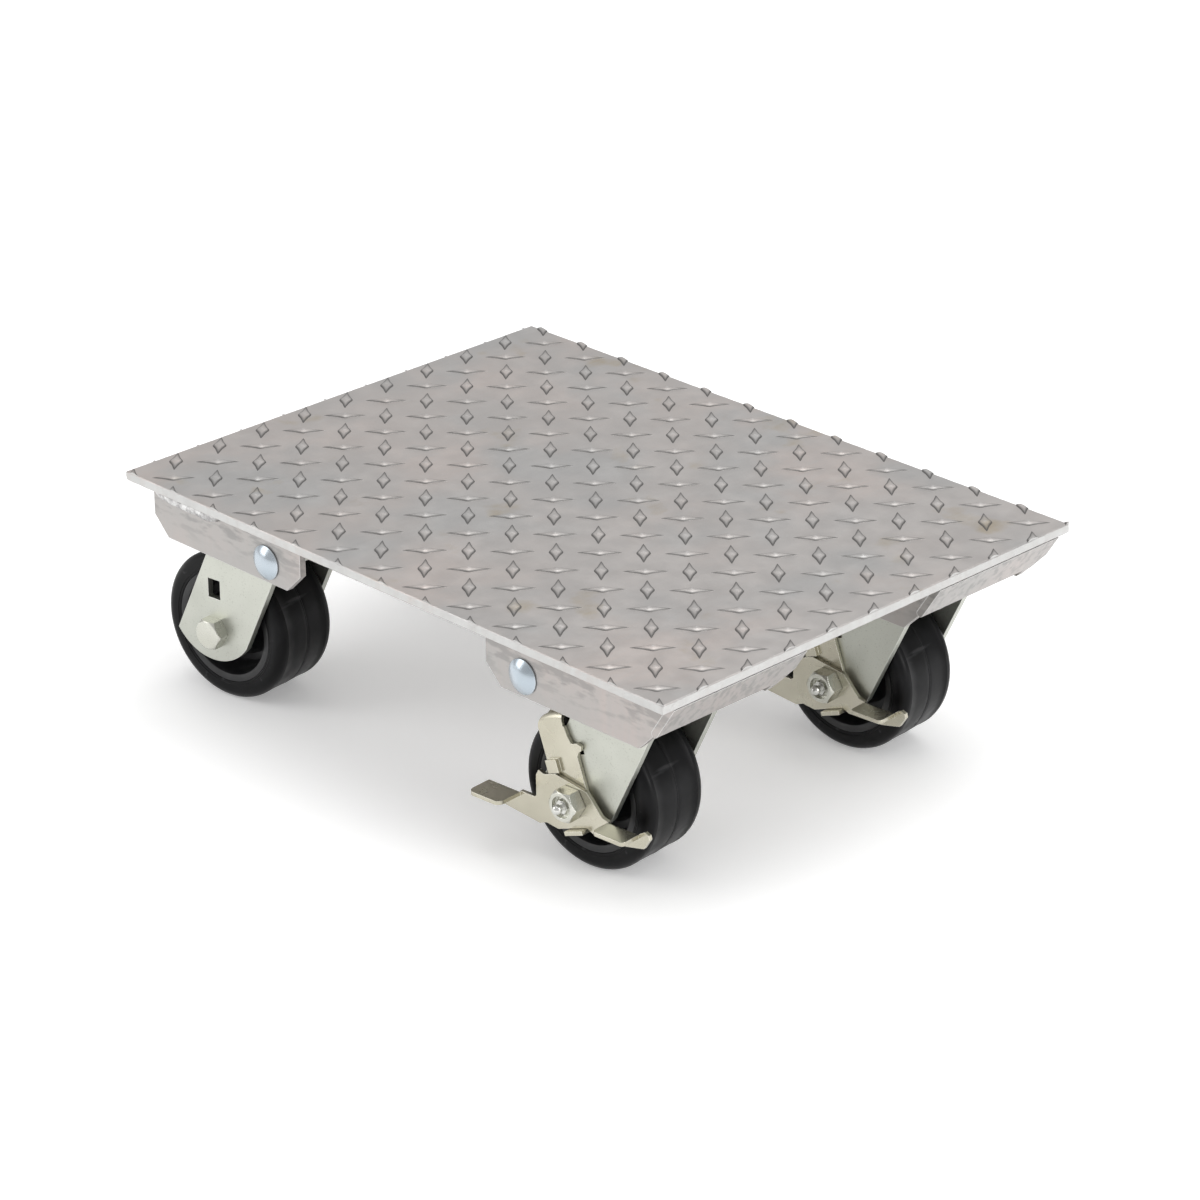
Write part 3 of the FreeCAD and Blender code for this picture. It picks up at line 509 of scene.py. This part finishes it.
def plated_material(name, dull, bright, edge, roughness, radius, speckle=0.0):
    """Zinc plate: cloudy colour, fine speckle, painted highlights on the sharp edges."""
    n = Nodes(name)
    rounded, painted_edge_highlight = n.edges(radius)
    colour = n.blend(n.spread(n.noise(30, 2), 0.38, 0.64), dull, bright)
    grain = n.noise(900, 3)
    colour = n.blend(n.spread(grain, 0.6, 0.72, 0, speckle), colour, (0.26, 0.26, 0.22))
    # Painted highlight: sharp edges are lightened where the rounded normal bends away from the flat one.
    colour = n.blend(painted_edge_highlight, colour, edge)
    rough = n.spread(n.noise(60, 3, shift=6), 0.3, 0.7, roughness - 0.03, roughness + 0.06)
    return n.finish(colour, rough, rounded, 0.9)


def rubber_material():
    n = Nodes("tyre_rubber")
    scuffed = n.spread(n.noise(34, 6), 0.5, 0.74)
    colour = n.blend(scuffed, (0.0018, 0.0018, 0.0023), (0.008, 0.008, 0.009))
    lines = n.spread(n.noise(150, 5, stretch=(1, 0.15, 1), shift=8), 0.66, 0.74, 0, 0.5)
    colour = n.blend(lines, colour, (0.05, 0.05, 0.052))
    rough = n.spread(n.noise(80, 4, shift=3), 0.3, 0.7, 0.28, 0.46)
    n.shader.inputs["Specular IOR Level"].default_value = 0.16
    return n.finish(colour, rough, n.bump(n.noise(420, 3), 0.07, 0.0003), 0.0)


def core_material():
    n = Nodes("wheel_core_black")
    colour = n.blend(n.spread(n.noise(50, 5), 0.45, 0.7), (0.006, 0.006, 0.007), (0.018, 0.018, 0.019))
    rough = n.spread(n.noise(90, 4, shift=2), 0.3, 0.7, 0.3, 0.48)
    return n.finish(colour, rough, n.bump(n.noise(300, 4), 0.15, 0.0003), 0.0)


def give(piece, material):
    piece.data.materials.clear()
    piece.data.materials.append(material)


MATERIALS = {
    "deck": deck_material(),
    "pocket_aluminium": flat_bar_material(),
    "weld": weld_material(),
    "bright_zinc": plated_material("bright_zinc", (0.45, 0.51, 0.56), (0.56, 0.61, 0.66), (0.92, 0.94, 0.95),
                                   0.24, 0.0005),
    "yoke_zinc": plated_material("yoke_zinc", (0.49, 0.50, 0.45), (0.55, 0.56, 0.505), (0.80, 0.80, 0.76),
                                 0.36, 0.0006, 0.45),
    "brake_zinc": plated_material("brake_zinc", (0.50, 0.475, 0.385), (0.57, 0.545, 0.45), (0.88, 0.86, 0.76),
                                 0.24, 0.0005, 0.08),
    "fastener_zinc": plated_material("fastener_zinc", (0.54, 0.54, 0.48), (0.62, 0.62, 0.56),
                                     (0.90, 0.90, 0.86), 0.24, 0.0005, 0.1),
    "fitting": plated_material("fitting_steel", (0.60, 0.60, 0.57), (0.72, 0.72, 0.69), (0.9, 0.9, 0.88),
                               0.22, 0.0003, 0.1),
    "tyre_rubber": rubber_material(),
    "wheel_black": core_material(),
    "bearing_steel": plated_material("bearing_steel", (0.42, 0.42, 0.41), (0.55, 0.55, 0.54),
                                     (0.7, 0.7, 0.7), 0.3, 0.0003, 0.2),
}

for subpart in frame["record"]["subparts"]:
    give(frame["nodes"][subpart["node"]], MATERIALS[subpart["material_slot"]])


# ---------- pieces ----------

def add_piece(piece, material_slot, *nodes):
    give(piece, MATERIALS[material_slot])
    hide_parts(*nodes)


deck = tread_deck()
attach(deck, "frame")
add_piece(deck, "deck", "deck_plate")

welds = weld_beads()
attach(welds, "frame")
add_piece(welds, "weld", "weld_beads")

bolts = carriage_bolts()
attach(bolts, "frame")
add_piece(bolts, "bright_zinc", "cross_bolts")

for corner in CORNERS:
    tyre = lathe(corner + "_moulded_tyre", tyre_profile())
    place_wheel(tyre, corner)
    add_piece(tyre, "tyre_rubber", corner + "_tyre")
    core = lathe(corner + "_moulded_core", core_profile())
    place_wheel(core, corner)
    add_piece(core, "wheel_black", corner + "_wheel_core")


# ---------- studio ----------

FLOOR_HALF = 8
LAMP_AIM = (0, 0, 0.1)

# Camera fitted to the deck's corners and its lattice of lugs; lens and sensor in millimetres
CAMERA_PLACE = (1.7743, -1.7459, 1.2430)
CAMERA_FORWARD = (-0.6439, 0.6384, -0.4217)
CAMERA_RIGHT = (0.7050, 0.7092, -0.0029)
CAMERA_LENS = 128.55
CAMERA_SENSOR = 36


def look(location, target):
    return (Vector(target) - Vector(location)).to_track_quat("-Z", "Y").to_euler()


def softbox(name, location, size, power):
    """Rectangular lamp; size in metres, power in watts."""
    light = bpy.data.lights.new(name, "AREA")
    light.shape = "RECTANGLE"
    light.size, light.size_y = size
    light.energy = power
    lamp = bpy.data.objects.new(name, light)
    lamp.location = location
    lamp.rotation_euler = look(location, LAMP_AIM)
    bpy.context.scene.collection.objects.link(lamp)


floor_mesh = bpy.data.meshes.new("floor")
floor_corners = [(x * FLOOR_HALF, y * FLOOR_HALF, 0) for x, y in ((-1, -1), (1, -1), (1, 1), (-1, 1))]
floor_mesh.from_pydata(floor_corners, [], [(0, 1, 2, 3)])
floor = new_object("floor", floor_mesh)
floor_material = bpy.data.materials.new("pale_floor")
floor_material.use_nodes = True
floor_shader = floor_material.node_tree.nodes["Principled BSDF"]
floor_shader.inputs["Base Color"].default_value = (0.9, 0.9, 0.9, 1)
floor_shader.inputs["Roughness"].default_value = 0.9
floor_shader.inputs["Emission Color"].default_value = (1, 1, 1, 1)
floor_shader.inputs["Emission Strength"].default_value = 0.26
give(floor, floor_material)

world = bpy.data.worlds.new("studio")
world.use_nodes = True
background = world.node_tree.nodes["Background"]
background.inputs["Color"].default_value = (1, 1, 1, 1)
background.inputs["Strength"].default_value = 0.62
bpy.context.scene.world = world
bpy.context.scene.view_settings.view_transform = "Standard"

softbox("overhead", (0.2, 0.3, 2.2), (2.2, 2.2), 30)
softbox("left_front", (-1.6, -1.8, 1.1), (1.2, 1.6), 14)
softbox("right", (2.2, 0.4, 1.0), (0.8, 1.6), 16)

camera_data = bpy.data.cameras.new("camera")
camera_data.lens = CAMERA_LENS
camera_data.sensor_width = CAMERA_SENSOR
camera = bpy.data.objects.new("camera", camera_data)
forward = Vector(CAMERA_FORWARD).normalized()
right = Vector(CAMERA_RIGHT)
right = (right - forward * right.dot(forward)).normalized()
up = right.cross(forward)
turn = Matrix((right, up, -forward)).transposed().to_4x4()
camera.matrix_world = Matrix.Translation(CAMERA_PLACE) @ turn
bpy.context.scene.collection.objects.link(camera)
bpy.context.scene.camera = camera
